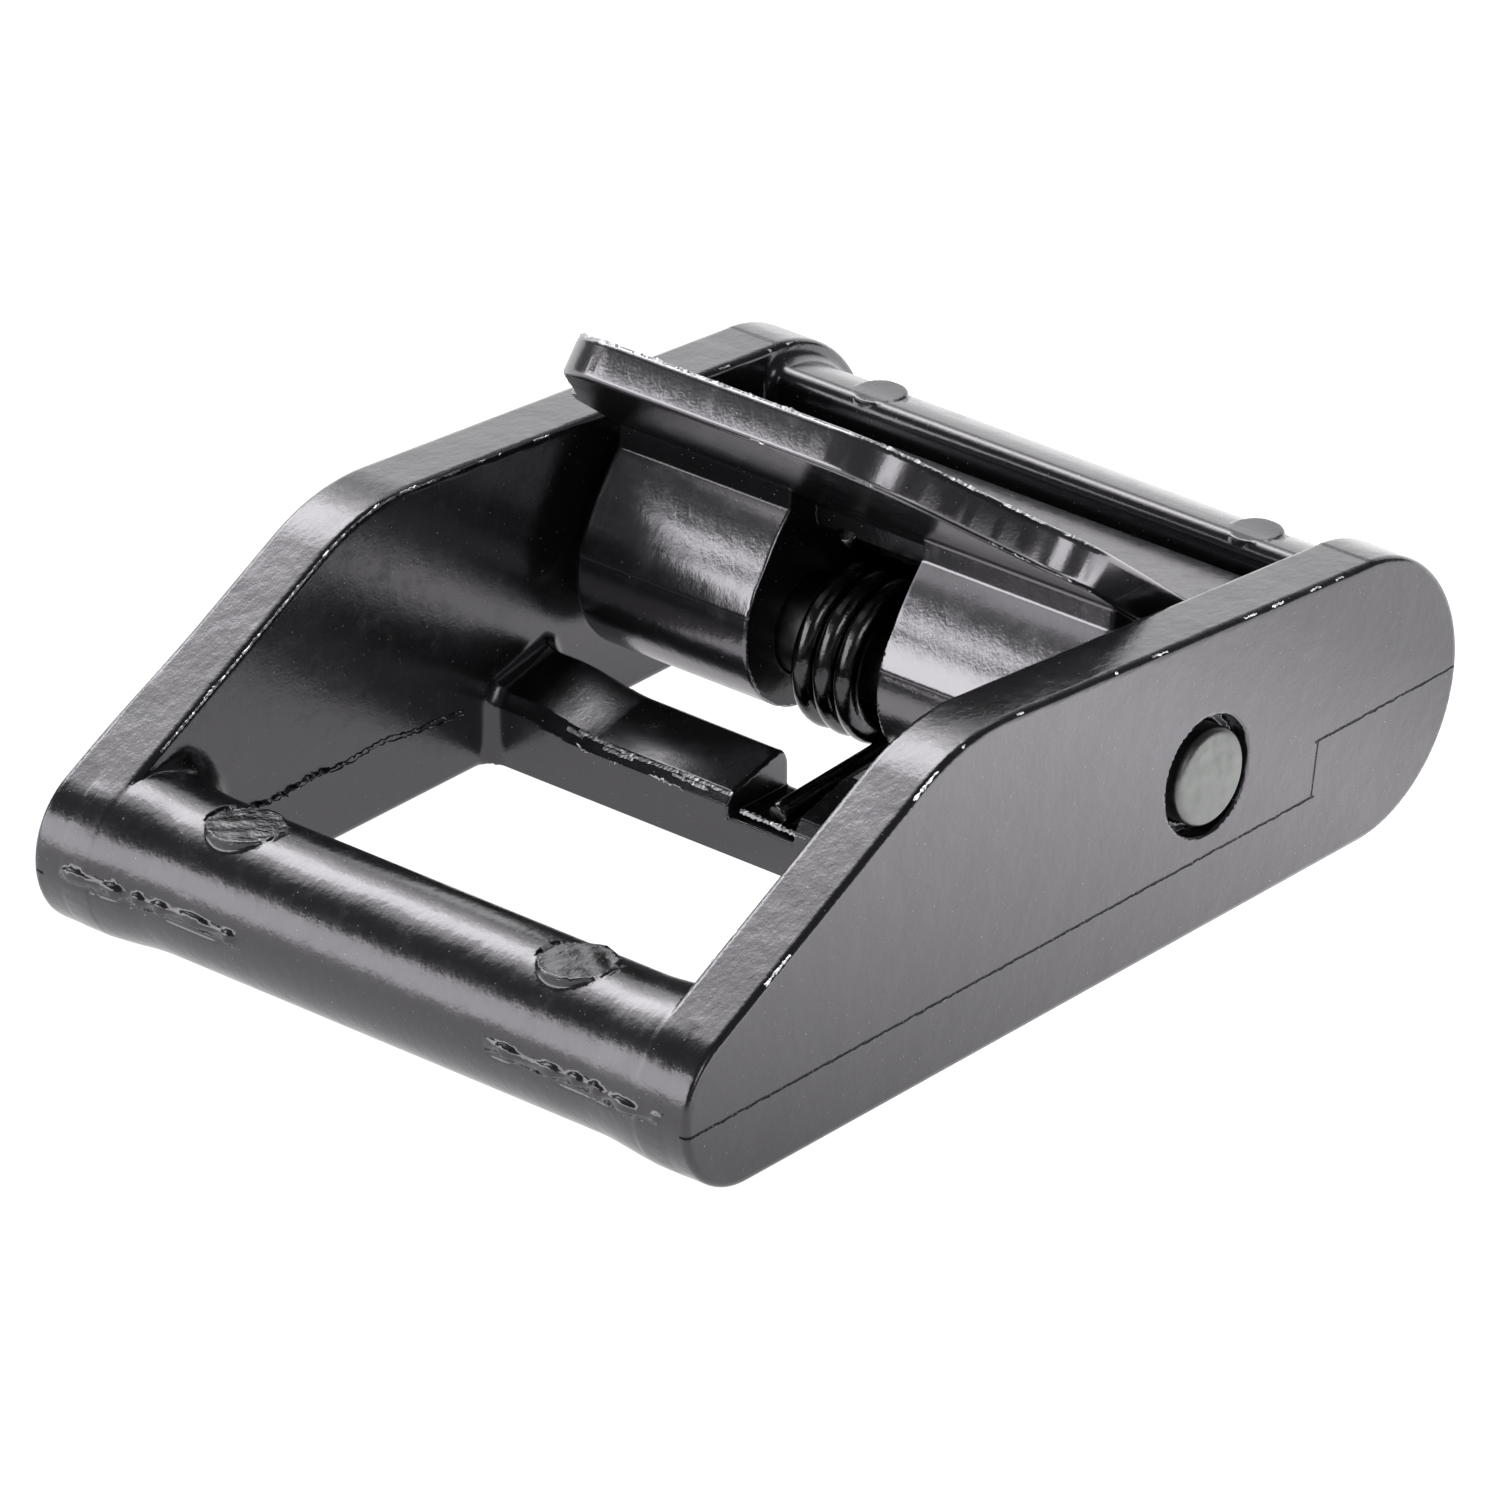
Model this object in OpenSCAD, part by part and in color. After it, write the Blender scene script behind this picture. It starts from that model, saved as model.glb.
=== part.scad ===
// Spring-loaded cam buckle for 25 mm webbing, a zinc die casting with a steel pin.
// X runs across the webbing, +Y towards the rear bar and Z up. The origin is on the
// surface that the buckle stands on, under the middle of the frame.

/* [Frame] */
// Outer width over the side plates
frame_w = 32; // [31:0.5:36]
// Length from the nose to the rear end
frame_l = 44.38; // [43.5:0.01:46]
// Thickness of a side plate
plate_t = 2.74; // [2:0.01:3]
// Radius of the nose of a side plate
nose_r = 3.35; // [3.15:0.05:3.6]
// Radius of the rear end of a side plate
tail_r = 5.81; // [5.5:0.01:6.2]
// Slope of the front half of a side plate
slope_deg = 27.6; // [26:0.1:30]
// Fall of the top edge towards the rear
fall_deg = 4.4; // [3:0.1:6]
// Radius of the shoulder between slope and top
shoulder_r = 9; // [5:0.5:11]

/* [Bars] */
// Radius of the round front bar
front_bar_r = 3.1; // [2.8:0.05:3.15]
// Front face of the middle bar, along Y
mid_front = -0.06; // [-1:0.01:0.5]
// Depth of the middle bar, along Y
mid_depth = 3.55; // [3:0.01:3.8]
// Height of the middle bar's front face
mid_step = 1.65; // [1.4:0.05:1.65]
// Height of the middle bar's rear edge
mid_top = 3.3; // [2.8:0.05:3.4]
// Radius of the rear bar's back
rear_bar_r = 5.05; // [4.8:0.05:5.4]
// Distance from the pin to the rear bar's front face
rear_gap = 9.05; // [9:0.05:9.4]

/* [Pin and spring] */
// Pin centre, along Y
pin_y = 7.25; // [7:0.01:7.4]
// Pin centre above the surface
pin_z = 6.31; // [6.3:0.01:6.5]
// Radius of the pin
pin_r = 1.95; // [1.8:0.01:2]
// Radius of the mouth of each pin hole
mouth_r = 2.4; // [2.3:0.05:2.6]
// How far each pin end stands proud of its side plate
pin_proud = 0.15; // [0.05:0.05:0.3]
// Diameter of the spring wire
wire_d = 0.98; // [0.8:0.02:1]
// Mean radius of the spring coil
coil_r = 3; // [2.9:0.05:3.05]
// Distance from one turn of the spring to the next
coil_pitch = 1.04; // [1.02:0.01:1.08]

/* [Lever] */
// Tilt of the thumb plate at rest
tilt_deg = 38; // [36:0.5:40]
// Thickness of the thumb plate
thumb_t = 1.66; // [1.4:0.01:2]
// Distance from the pin to the thumb plate's underside
thumb_off = 4.17; // [4.11:0.01:4.25]
// Length of the thumb plate in front of the pin
thumb_l = 15.7; // [14:0.1:17]
// Half the width of the lever at its widest
thumb_half = 12.65; // [12.6:0.05:12.7]
// Half the straight front edge of the thumb plate
thumb_tip = 5.1; // [4.5:0.1:5.1]
// Half the width of the hub and cam
hub_half = 12.3; // [12:0.05:12.4]
// Radius of the hub
hub_r = 3.8; // [3.6:0.01:3.9]
// Height of the hub's centre above the pin
hub_rise = 0.55; // [0.4:0.01:0.6]
// Side play of the lever, taken up to one side
lever_shift = -0.1; // [-0.2:0.1:0.2]
// Radius of the cam at its top tooth
cam_r = 9.15; // [8.8:0.01:9.15]
// Growth of the cam's radius for each degree
cam_rise = 0.03; // [0.02:0.005:0.04]
// Number of teeth on the cam
teeth = 6; // [4:1:6]
// Depth of the teeth
tooth_depth = 0.7; // [0.4:0.1:0.8]

/* [Hidden] */
$fn = 64;

inner_w = frame_w - 2 * plate_t;
nose_y = -frame_l / 2 + nose_r;
tail_y = frame_l / 2 - tail_r;
// Clearances of the pin in the frame's bores and in the hub
press_gap = 0.03;
run_gap = 0.07;
mouth_depth = 0.8;

// Where the slope leaves the nose, and the corner that the shoulder rounds
slope_y0 = nose_y - nose_r * sin(slope_deg);
slope_z0 = nose_r + nose_r * cos(slope_deg);
top_z0 = 2 * tail_r;
corner_y = (top_z0 + tail_y * tan(fall_deg) - slope_z0 + slope_y0 * tan(slope_deg))
    / (tan(slope_deg) + tan(fall_deg));
corner_z = top_z0 + (tail_y - corner_y) * tan(fall_deg);
corner_t = shoulder_r * tan((slope_deg + fall_deg) / 2);
slope_end = [corner_y - corner_t * cos(slope_deg), corner_z - corner_t * sin(slope_deg)];
top_start = [corner_y + corner_t * cos(fall_deg), corner_z - corner_t * sin(fall_deg)];
shoulder_c = [slope_end[0] + shoulder_r * sin(slope_deg), slope_end[1] - shoulder_r * cos(slope_deg)];

mid_rear = mid_front + mid_depth;
// Notch of the middle bar for the spring's leg, and the raised lands at its ends
notch_x0 = -1.3;
notch_x1 = 1.95;
land_x = 10.3;
land_rise = 0.48;
corner_fillet = 1.3;
window_fillet = 1.1;

// Spring slot between the two halves of the hub
slot_x0 = -3.4;
slot_x1 = 3.2;
slot_r = 4.1;

// Cam teeth, from the top one down
cam_top_deg = 22.2;
tooth_deg = 8.3;
cam_top_z = cam_r * sin(cam_top_deg);

function cam_at(a) = cam_r - cam_rise * (cam_top_deg - a);
function on_cam(a, d) = [(cam_at(a) - d) * cos(a), (cam_at(a) - d) * sin(a)];

// Points round the middle of a corner, seen from above the thumb plate
function bend(c, r, a0, a1, n) =
    [for (i = [0 : n]) let (a = a0 + (a1 - a0) * i / n) [c[0] + r * cos(a), c[1] + r * sin(a)]];

// Puts a section drawn in Y and Z across the buckle, from x0 to x1
module across(x0, x1) {
    translate([x0, 0, 0])
        rotate([90, 0, 90])
            linear_extrude(height = x1 - x0)
                children();
}

module bore_x(y, z, r, x0, x1) {
    translate([x0, y, z])
        rotate([0, 90, 0])
            cylinder(r = r, h = x1 - x0);
}

module side_profile() {
    translate([nose_y, nose_r]) circle(r = nose_r);
    translate([tail_y, tail_r]) circle(r = tail_r);
    polygon([
        [nose_y, 0], [tail_y, 0], [tail_y, top_z0], top_start, slope_end,
        [slope_y0, slope_z0], [nose_y, nose_r]
    ]);
    intersection() {
        translate(shoulder_c) circle(r = shoulder_r, $fn = 128);
        polygon([slope_end, [corner_y, corner_z], top_start]);
    }
}

module side_plate(x0) {
    across(x0, x0 + plate_t) side_profile();
}

module middle_bar_profile(rise) {
    top = mid_top + rise;
    polygon([
        [mid_front, 0], [mid_rear, 0], [mid_rear, top - 0.6], [mid_rear - 0.2, top - 0.15],
        [mid_rear - 0.5, top], [mid_front + 0.15, mid_step + 0.6 + rise], [mid_front, mid_step]
    ]);
}

module rear_bar_profile() {
    intersection() {
        translate([tail_y, tail_r]) circle(r = rear_bar_r);
        translate([pin_y + rear_gap, 0]) square([3 * tail_r, 3 * tail_r]);
    }
}

// Upright concave fillet in a corner between a bar and a side plate, for the +X side
module corner_fill(y, r, h, side) {
    translate([inner_w / 2 - r, side > 0 ? y : y - r, 0])
        difference() {
            cube([r + 0.2, r, h]);
            translate([0, side > 0 ? r : 0, -1]) cylinder(r = r, h = h + 2);
        }
}

module frame() {
    color([0.08, 0.08, 0.09])
    difference() {
        union() {
            side_plate(inner_w / 2);
            side_plate(-frame_w / 2);
            bore_x(nose_y, nose_r, front_bar_r, -inner_w / 2 - 0.5, inner_w / 2 + 0.5);
            across(-inner_w / 2 - 0.5, inner_w / 2 + 0.5) middle_bar_profile(0);
            across(-inner_w / 2 - 0.5, inner_w / 2 + 0.5) rear_bar_profile();
            for (m = [0, 1]) mirror([m, 0, 0]) {
                across(land_x, inner_w / 2 + 0.5) middle_bar_profile(land_rise);
                corner_fill(mid_front + 0.01, corner_fillet, mid_top, -1);
                translate([0, 0, nose_r - 1.5])
                    corner_fill(nose_y + front_bar_r - 0.35, window_fillet, 3, 1);
            }
        }
        bore_x(pin_y, pin_z, pin_r + press_gap, -frame_w, frame_w);
        bore_x(pin_y, pin_z, mouth_r, frame_w / 2 - mouth_depth, frame_w);
        bore_x(pin_y, pin_z, mouth_r, -frame_w, -frame_w / 2 + mouth_depth);
        translate([notch_x0, mid_front - 1, mid_step])
            cube([notch_x1 - notch_x0, mid_depth + 2, mid_top]);
    }
}

// Outline of the thumb plate: X across, Y back from the front edge
module thumb_outline() {
    front_r = 4;
    flank_deg = 60;
    waist_r = 2.1;
    waist_deg = 40;
    heel_r = 2.3;
    front_end = [thumb_tip + front_r * sin(flank_deg), front_r * (1 - cos(flank_deg))];
    flank_l = 5.4;
    waist_start = front_end + flank_l * [cos(flank_deg), sin(flank_deg)];
    waist_c = waist_start + waist_r * [sin(flank_deg), -cos(flank_deg)];
    waist_end = waist_c + waist_r * [-sin(waist_deg), cos(waist_deg)];
    heel_x = thumb_half - heel_r * (1 - sin(waist_deg));
    heel_run = (heel_x - waist_end[0]) / cos(waist_deg);
    heel_start = waist_end + heel_run * [cos(waist_deg), sin(waist_deg)];
    heel_c = heel_start + heel_r * [-sin(waist_deg), cos(waist_deg)];
    half = concat(
        bend([thumb_tip, front_r], front_r, -90, flank_deg - 90, 12),
        bend(waist_c, waist_r, flank_deg + 90, waist_deg + 90, 6),
        bend(heel_c, heel_r, waist_deg - 90, 0, 8),
        [[thumb_half, thumb_l + 1.9]]
    );
    polygon(concat(half, [for (i = [len(half) - 1 : -1 : 0]) [-half[i][0], half[i][1]]]));
}

// Section of the cam block and the web that carries the thumb plate
module cam_profile() {
    web_y = -1.1;
    polygon(concat(
        [[-3.1, 3], [-1.95, 4.15], [web_y, 5.25], [web_y, 6.3], [3.6, 4.1], [4.6, cam_top_z]],
        [for (i = [0 : teeth - 1], k = [0, 1])
            on_cam(cam_top_deg - tooth_deg * (i + 0.65 * k), k * tooth_depth)],
        [on_cam(cam_top_deg - tooth_deg * teeth, 0), [2.6, -2.6], [0, 0]]
    ));
}

module slot_profile() {
    s = sin(tilt_deg);
    c = cos(tilt_deg);
    roof = thumb_off - 0.03;
    circle(r = slot_r);
    polygon([
        [roof * s, roof * c], [roof * s - 12 * c, roof * c + 12 * s],
        [roof * s - 12 * c, -8], [0, -8], [0, 0]
    ]);
}

module cam_lever() {
    color([0.1, 0.1, 0.11])
    translate([lever_shift, pin_y, pin_z])
    difference() {
        union() {
            bore_x(-0.05, hub_rise, hub_r, -hub_half, hub_half);
            across(-hub_half, hub_half) cam_profile();
            rotate([-tilt_deg, 0, 0])
                translate([0, -thumb_l, thumb_off])
                    linear_extrude(height = thumb_t)
                        thumb_outline();
        }
        bore_x(0, 0, pin_r + run_gap, -frame_w, frame_w);
        across(slot_x0 - lever_shift, slot_x1 - lever_shift) slot_profile();
    }
}

module pivot_pin() {
    end_x = frame_w / 2 + pin_proud;
    bevel = 0.2;
    color([0.55, 0.56, 0.58])
    translate([0, pin_y, pin_z])
    rotate([0, 90, 0])
    rotate_extrude()
        polygon([
            [0, -end_x], [pin_r - bevel, -end_x], [pin_r, -end_x + bevel],
            [pin_r, end_x - bevel], [pin_r - bevel, end_x], [0, end_x]
        ]);
}

// The wire's centre line, from the leg on the middle bar to the leg on the lever.
// Angles go round the pin from +Y towards +Z.
coil_start = -81;
coil_end = 40;
coil_turns = 3;
coil_x = 1.62;
foot_x = 0.75;
foot_run = 7.4;
hand_run = 3.1;
turn_steps = 20;
sweep_deg = coil_end - coil_start + 360 * coil_turns;
coil_steps = round(sweep_deg / 360 * turn_steps);

function coil_point(t) =
    let (a = coil_start + sweep_deg * t)
    [coil_x - coil_pitch * sweep_deg / 360 * t, pin_y + coil_r * cos(a), pin_z + coil_r * sin(a)];
function foot_point(t) =
    coil_point(0) + t * [foot_x - coil_x, foot_run * sin(coil_start), -foot_run * cos(coil_start)];
function hand_point(t) =
    coil_point(1) + t * hand_run * [-0.02, -sin(coil_end), cos(coil_end)];

wire_path = concat(
    [for (i = [0 : 3]) foot_point(1 - i / 4)],
    [for (i = [0 : coil_steps]) coil_point(i / coil_steps)],
    [for (i = [1 : 3]) hand_point(i / 3)]
);
wire_sides = 10;

function unit(v) = v / norm(v);
function path_dir(i) =
    unit(wire_path[min(i + 1, len(wire_path) - 1)] - wire_path[max(i - 1, 0)]);
function wire_ring(i) =
    let (d = path_dir(i), u = unit(cross(d, [1, 0, 0])), v = cross(d, u))
    [for (k = [0 : wire_sides - 1])
        let (a = 360 * k / wire_sides) wire_path[i] + wire_d / 2 * (cos(a) * u + sin(a) * v)];

module torsion_spring() {
    n = len(wire_path);
    m = wire_sides;
    color([0.16, 0.16, 0.17])
    polyhedron(
        points = [for (i = [0 : n - 1]) each wire_ring(i)],
        faces = concat(
            [[for (k = [0 : m - 1]) k]],
            [for (i = [0 : n - 2], k = [0 : m - 1])
                [i * m + k, (i + 1) * m + k, (i + 1) * m + (k + 1) % m, i * m + (k + 1) % m]],
            [[for (k = [m - 1 : -1 : 0]) (n - 1) * m + k]]
        )
    );
}

frame();
cam_lever();
pivot_pin();
torsion_spring();
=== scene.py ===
"""Spring-loaded cam buckle: detailed pieces round the fixed frame, materials, studio and camera."""

import math

import bmesh
import bpy
import numpy as np
from mathutils import Matrix, Vector


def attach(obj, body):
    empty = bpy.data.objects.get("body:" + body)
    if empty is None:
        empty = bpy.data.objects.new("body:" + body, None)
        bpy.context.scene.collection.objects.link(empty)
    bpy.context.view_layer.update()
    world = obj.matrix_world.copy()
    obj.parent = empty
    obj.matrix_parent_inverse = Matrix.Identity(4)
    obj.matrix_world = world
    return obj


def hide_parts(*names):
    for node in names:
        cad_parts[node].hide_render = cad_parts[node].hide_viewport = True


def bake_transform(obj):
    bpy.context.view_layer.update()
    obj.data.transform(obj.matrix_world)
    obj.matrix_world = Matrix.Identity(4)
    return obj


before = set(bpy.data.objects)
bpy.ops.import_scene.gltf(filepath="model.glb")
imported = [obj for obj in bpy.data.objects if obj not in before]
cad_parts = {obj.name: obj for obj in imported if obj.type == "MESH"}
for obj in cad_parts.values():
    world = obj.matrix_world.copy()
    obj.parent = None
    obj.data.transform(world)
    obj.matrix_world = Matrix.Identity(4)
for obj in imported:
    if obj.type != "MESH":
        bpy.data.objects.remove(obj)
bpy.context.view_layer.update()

# Sizes in millimetres, the same as in the part's source
FRAME_W, FRAME_L, PLATE_T = 32.0, 44.38, 2.74
NOSE_R, TAIL_R = 3.35, 5.81
SLOPE, FALL, SHOULDER_R = math.radians(27.6), math.radians(4.4), 9.0
FRONT_BAR_R, REAR_BAR_R = 3.1, 5.05
MID_FRONT, MID_DEPTH, MID_STEP, MID_TOP = -0.06, 3.55, 1.65, 3.3
NOTCH, LAND_X, LAND_RISE = (-1.3, 1.95), 10.3, 0.48
PIN_Y, PIN_Z, PIN_R, MOUTH_R, PIN_PROUD = 7.25, 6.31, 1.95, 2.4, 0.15
REAR_GAP = 9.05
PADS, REAR_PADS = (-8.2, 8.1), (-8.7, 9.9)
PARTING_Z, JOG_Y, JOG_RISE = 3.1, 13.35, 2.25
TILT = math.radians(38)
THUMB_T, THUMB_OFF, THUMB_L, THUMB_HALF, THUMB_TIP = 1.66, 4.17, 15.7, 12.65, 5.1
HUB_HALF, HUB_R, LEVER_SHIFT = 12.3, 3.8, -0.1
CAM_R, CAM_RISE, CAM_TOP, TEETH, TOOTH_STEP, TOOTH_DEPTH = 9.15, 0.03, 22.2, 6, 8.3, 0.7
SLOT, SLOT_R = (-3.45, 3.0), 4.1
WIRE_D, COIL_R, COIL_PITCH, COIL_X = 0.98, 3.0, 1.04, 1.62
COIL_START, COIL_END, COIL_TURNS = -81.0, 40.0, 3
FOOT_X, FOOT_RUN, HAND_RUN = 0.75, 7.4, 3.1

NOSE_Y = -FRAME_L / 2 + NOSE_R
TAIL_Y = FRAME_L / 2 - TAIL_R
INNER_X = FRAME_W / 2 - PLATE_T
MM = 0.001

# Small forms that only this script has
PLATE_EDGE, BAR_EDGE, BORE_EDGE = 0.28, 0.1, 0.08
SWELL, SWELL_Y = 0.2, (13, 19)
FLARE_X, RAMP_X = (10.5, 13.8), (7.9, 11.8)
GATE_X, GATE_FADE, GATE_Z = (6.0, 15.0), 0.6, 3.5
PAD_R, PAD_FOOT, REAR_PAD_R, REAR_PAD_FOOT, REAR_PAD_BACK = 1.5, 4.5, 1.1, 8.5, 1.05
MID_EDGE, MID_CORNER, REAR_CORNER = 0.22, 0.7, 0.6
REAR_EDGE, REAR_FORWARD = 0.65, 0.1
HUB_Y, HUB_Z, HUB_FRONT_R = -0.1, 0.45, 3.5
HUB_EDGE, CAM_EDGE, THUMB_EDGE = 0.4, 0.25, 0.25
# Where the cam's web meets the thumb plate, and its hollow front: centre, radius and two angles
WEB, HOLLOW = -1.1, (8.879, -3.985, 13.67, 155.9, 137.5)
# For the lever's smoother bumps and painted shade: the thumb plate's right flank, and the corner under its
# left half
FLANK_X, FLANK_PAINTED_SHADE, FLANK_Z, CORNER_Z = 6.0, (8.0, 8.8, 10.8, 11.3), 13.0, 11.3
# Where torn flash and worn paint start, rise, fall and stop
FLASH_ROOT, FLASH_LEAST = 0.05, 0.012
WALL_Y, WALL_FALL, BEADS_START, BEADS_STOP = (-16.6, -1.5), (-6, -2), (-13.9, -13.2), (-9.2, -8.2)
WORN_X, WORN_START, WORN_SLOPE = (-10.5, 12.6), (-10.5, -8.5), (-18.2, -1.5)

# How finely the fields are meshed: cell size, reach of the slopes, and what counts as flat
STEP = 0.16
SLOPE_REACH, NORMAL_REACH, FLAT_WITHIN = 0.01, 0.03, math.radians(0.35)
MARGIN, FRAME_TOP, LEVER_BELOW, LEVER_BEHIND = 0.4, 13, 8, 10


# Distance fields: negative inside, in millimetres
def join(a, b, r):
    """Union with a fillet of radius r in the corner."""
    return np.maximum(r, np.minimum(a, b)) - np.hypot(np.maximum(r - a, 0), np.maximum(r - b, 0))


def cut(a, b, r):
    """Intersection with its edge rounded to radius r."""
    return -join(-a, -b, r)


def melt(a, b, k):
    """Union that blends where the two surfaces lie within k of each other."""
    return np.minimum(a, b) - np.maximum(k - np.abs(a - b), 0) ** 2 / (4 * k)


def slab(x, low, high):
    """The space between two flats."""
    return np.abs(x - (low + high) / 2) - (high - low) / 2


def ease(x, low, high):
    """0 below low, 1 above high, smooth in between."""
    t = np.clip((x - low) / (high - low), 0, 1)
    return t * t * (3 - 2 * t)


def ripple(a, b, size):
    """Uneven value between about -1 and 1 that changes over the given size."""
    k = 2 * math.pi / size
    first = np.sin(k * 0.83 * a + 2.1 * np.sin(k * 0.61 * b + 1.3))
    second = np.sin(k * 0.97 * b + 1.7 * np.sin(k * 0.53 * a + 4.0))
    return (first + second) / 2


def polygon_field(u, v, points):
    """Signed distance to a closed outline."""
    u, v = np.broadcast_arrays(u, v)
    best = np.full(u.shape, 1e9)
    inside = np.zeros(u.shape, bool)
    for (ax, ay), (bx, by) in zip(points, points[1:] + points[:1]):
        ex, ey = bx - ax, by - ay
        wx, wy = u - ax, v - ay
        t = np.clip((wx * ex + wy * ey) / (ex * ex + ey * ey), 0, 1)
        best = np.minimum(best, (wx - t * ex) ** 2 + (wy - t * ey) ** 2)
        if ay != by:
            crosses = (ay > v) != (by > v)
            inside ^= crosses & (u < ax + (v - ay) * ex / ey)
    return np.where(inside, -1, 1) * np.sqrt(best)


def side_profile_field(y, z):
    """Side plate seen along X: nose, slope, shoulder, top and rear end, all tangent."""
    ns, nt = (-math.sin(SLOPE), math.cos(SLOPE)), (math.sin(FALL), math.cos(FALL))
    slope = (y - NOSE_Y) * ns[0] + (z - NOSE_R) * ns[1] - NOSE_R
    top_z = 2 * TAIL_R
    top = (y - TAIL_Y) * nt[0] + (z - top_z) * nt[1]
    # The shoulder's centre lies SHOULDER_R inside both lines
    det = ns[0] * nt[1] - ns[1] * nt[0]
    s0 = NOSE_R + NOSE_Y * ns[0] + NOSE_R * ns[1] - SHOULDER_R
    t0 = TAIL_Y * nt[0] + top_z * nt[1] - SHOULDER_R
    cy, cz = (s0 * nt[1] - t0 * ns[1]) / det, (ns[0] * t0 - nt[0] * s0) / det
    field = np.maximum(np.maximum(slope, top), -z)
    dy, dz = y - cy, z - cz
    in_shoulder = (ns[0] * dz - ns[1] * dy < 0) & (nt[0] * dz - nt[1] * dy > 0)
    field = np.where(in_shoulder, np.hypot(dy, dz) - SHOULDER_R, field)
    dy, dz = y - NOSE_Y, z - NOSE_R
    in_nose = (dy < 0) & ((ns[0] * dz - ns[1] * dy > 0) | (dz < 0))
    field = np.where(in_nose, np.hypot(dy, dz) - NOSE_R, field)
    dy, dz = y - TAIL_Y, z - TAIL_R
    in_tail = (dy > 0) & ((nt[0] * dz - nt[1] * dy < 0) | (dz < 0))
    return np.where(in_tail, np.hypot(dy, dz) - TAIL_R, field)


def bar_outline():
    """The middle bar seen along X: a box with a step and a sloping front."""
    rear = MID_FRONT + MID_DEPTH
    return [
        (MID_FRONT, 0), (rear, 0), (rear, MID_TOP - 0.6), (rear - 0.2, MID_TOP - 0.15), (rear - 0.5, MID_TOP),
        (MID_FRONT + 0.38, MID_STEP + 0.95), (MID_FRONT, MID_STEP + 0.45),
    ]


def gate_line(x):
    """Height of the torn gates' middle along the front bar."""
    return GATE_Z + 0.05 * np.sin(x * 1.3)


def ramp(x):
    """How far the middle bar's top has risen on its left land."""
    return LAND_RISE * ease(-x, *RAMP_X)


def front_bar_field(x, y, z, round_front):
    """The round front bar, wider at its ends, with its torn gates and ejector pads."""
    wide = np.abs(x)
    flare = (NOSE_R - FRONT_BAR_R) * ease(wide, *FLARE_X)
    front = cut(round_front - FRONT_BAR_R - flare, wide - FRAME_W / 2 + 1.2, BAR_EDGE)
    # A chain of beads over a fine groove, on the parting line
    shown = ease(wide, GATE_X[0], GATE_X[0] + GATE_FADE) - ease(wide, GATE_X[1] - GATE_FADE, GATE_X[1])
    shown = shown * (y < NOSE_Y)
    across = z - gate_line(x)
    beads = 0.5 + 0.5 * np.sin(x * 4.4 + 1.6 * np.sin(x * 1.15))
    front = front - ease(0.2 + 0.13 * beads - np.abs(across), 0, 0.16) * shown * (0.05 + 0.15 * beads)
    front = front + 0.05 * ease(0.12 - np.abs(across + 0.42), 0, 0.1) * shown
    for pad_x in PADS:
        flat = NOSE_R + FRONT_BAR_R - 0.06 + 0.02 * ripple(x, y, 1.1) + 0.04 * (x - pad_x)
        disc = np.hypot(x - pad_x, y - NOSE_Y + 0.2) - PAD_R
        front = cut(front, -np.maximum(disc - 0.12, flat - 0.05 - z), 0.08)
        front = join(front, np.maximum(disc, slab(z, PAD_FOOT, flat)), 0.1)
    return front


def middle_bar_field(x, y, z, inside):
    """The low middle bar, raised at its ends, with the notch for the spring's foot."""
    rise = ramp(x) + LAND_RISE * ease(x, LAND_X - 0.5, LAND_X + 0.5)
    profile = polygon_field(y, z - rise * ease(z, 1.2, 3.0), bar_outline())
    middle = cut(profile + MID_EDGE, inside, BAR_EDGE) - MID_EDGE
    notch = np.maximum(slab(x, *NOTCH), MID_STEP + 0.03 - z)
    return cut(middle, -notch, 0.12)


def rear_bar_field(x, y, z, inside):
    """The round rear bar, flat towards the cam, with its ejector pads."""
    front_y = PIN_Y + REAR_GAP - REAR_FORWARD
    rear = cut(np.hypot(y - TAIL_Y, z - TAIL_R) - REAR_BAR_R, front_y - y, REAR_EDGE)
    for pad_x in REAR_PADS:
        disc = np.hypot(x - pad_x, y - TAIL_Y - REAR_PAD_BACK) - REAR_PAD_R
        rear = join(rear, cut(disc, slab(z, REAR_PAD_FOOT, TAIL_R + REAR_BAR_R - 0.04), 0.12), 0.06)
    return cut(rear, inside, BAR_EDGE)


def frame_field(x, y, z):
    """The whole frame: side plates, three bars, the pin's bore and its shallow mouths."""
    wide = np.abs(x)
    inside = wide - INNER_X - 0.6
    profile = side_profile_field(y, z)
    swell = SWELL * ease(-y, *SWELL_Y) * (x < 0)
    plates = cut(profile, slab(wide, INNER_X, FRAME_W / 2 + swell), PLATE_EDGE)
    round_front = np.hypot(y - NOSE_Y, z - NOSE_R)
    corner = 0.04 + 1.1 * ease(round_front - FRONT_BAR_R - profile, 0.35, 2.2)
    body = join(plates, front_bar_field(x, y, z, round_front), corner)
    body = join(body, middle_bar_field(x, y, z, inside), MID_CORNER)
    body = join(body, rear_bar_field(x, y, z, inside), REAR_CORNER)
    round_pin = np.hypot(y - PIN_Y, z - PIN_Z)
    body = cut(body, PIN_R + 0.03 - round_pin, BORE_EDGE)
    mouth = np.hypot(y - PIN_Y + 0.09, z - PIN_Z - 0.05) - MOUTH_R + 0.02 * ripple(y, z, 1.3)
    mouth = np.maximum(mouth, FRAME_W / 2 - 0.8 - wide)
    # The fillets stop at the flat underside
    return np.maximum(cut(body, -mouth, BAR_EDGE), -z)


def bend(cx, cy, r, a0, a1, n):
    """Points of an arc in n steps, with its angles in degrees."""
    angles = [math.radians(a0 + (a1 - a0) * i / n) for i in range(n + 1)]
    return [(cx + r * math.cos(a), cy + r * math.sin(a)) for a in angles]


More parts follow.
